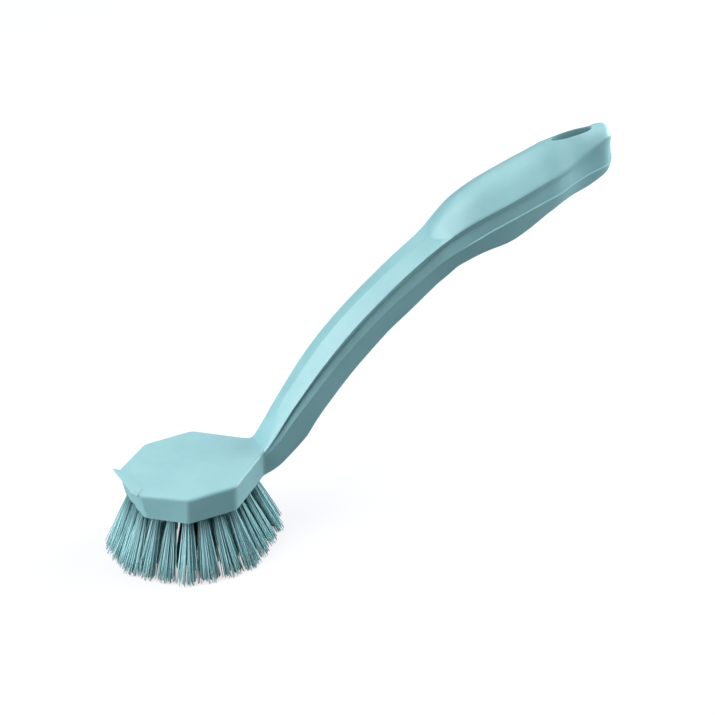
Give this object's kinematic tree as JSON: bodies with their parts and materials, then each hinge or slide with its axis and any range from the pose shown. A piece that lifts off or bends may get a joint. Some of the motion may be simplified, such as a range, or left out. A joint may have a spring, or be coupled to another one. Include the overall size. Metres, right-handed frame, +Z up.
{
  "type": "dish brush",
  "caption": "Sink brush with a flat angular head, a scraping edge, splayed bristle tufts and an arched handle with a hanging hole.",
  "frame": {"origin": "on the ground plane at the bristle tips, under the middle of the overall box", "axes": "+X along the brush from the head to the tail of the handle, +Y across it, +Z up from the bristle tips to the head"},
  "size_m": [0.2776, 0.079, 0.184],
  "materials": {
    "handle_plastic": "satin, dusty turquoise",
    "bristle_plastic": "satin filament, a paler tone of the handle's colour",
    "anchor_steel": "cut flat wire"
  },
  "bodies": {
    "root": {"handle_body": "handle_plastic", "bristle_tuft_01": "bristle_plastic", "bristle_tuft_02": "bristle_plastic", "bristle_tuft_03": "bristle_plastic", "bristle_tuft_04": "bristle_plastic", "bristle_tuft_05": "bristle_plastic", "bristle_tuft_06": "bristle_plastic", "bristle_tuft_07": "bristle_plastic", "bristle_tuft_08": "bristle_plastic", "bristle_tuft_09": "bristle_plastic", "bristle_tuft_10": "bristle_plastic", "bristle_tuft_11": "bristle_plastic", "bristle_tuft_12": "bristle_plastic", "bristle_tuft_13": "bristle_plastic", "bristle_tuft_14": "bristle_plastic", "bristle_tuft_15": "bristle_plastic", "bristle_tuft_16": "bristle_plastic", "bristle_tuft_17": "bristle_plastic", "bristle_tuft_18": "bristle_plastic", "bristle_tuft_19": "bristle_plastic", "bristle_tuft_20": "bristle_plastic", "bristle_tuft_21": "bristle_plastic", "bristle_tuft_22": "bristle_plastic", "bristle_tuft_23": "bristle_plastic", "bristle_tuft_24": "bristle_plastic", "bristle_tuft_25": "bristle_plastic", "bristle_tuft_26": "bristle_plastic", "bristle_tuft_27": "bristle_plastic", "bristle_tuft_28": "bristle_plastic", "bristle_tuft_29": "bristle_plastic", "tuft_anchor_01": "anchor_steel", "tuft_anchor_02": "anchor_steel", "tuft_anchor_03": "anchor_steel", "tuft_anchor_04": "anchor_steel", "tuft_anchor_05": "anchor_steel", "tuft_anchor_06": "anchor_steel", "tuft_anchor_07": "anchor_steel", "tuft_anchor_08": "anchor_steel", "tuft_anchor_09": "anchor_steel", "tuft_anchor_10": "anchor_steel", "tuft_anchor_11": "anchor_steel", "tuft_anchor_12": "anchor_steel", "tuft_anchor_13": "anchor_steel", "tuft_anchor_14": "anchor_steel", "tuft_anchor_15": "anchor_steel", "tuft_anchor_16": "anchor_steel", "tuft_anchor_17": "anchor_steel", "tuft_anchor_18": "anchor_steel", "tuft_anchor_19": "anchor_steel", "tuft_anchor_20": "anchor_steel", "tuft_anchor_21": "anchor_steel", "tuft_anchor_22": "anchor_steel", "tuft_anchor_23": "anchor_steel", "tuft_anchor_24": "anchor_steel", "tuft_anchor_25": "anchor_steel", "tuft_anchor_26": "anchor_steel", "tuft_anchor_27": "anchor_steel", "tuft_anchor_28": "anchor_steel", "tuft_anchor_29": "anchor_steel"}
  },
  "joints": []
}
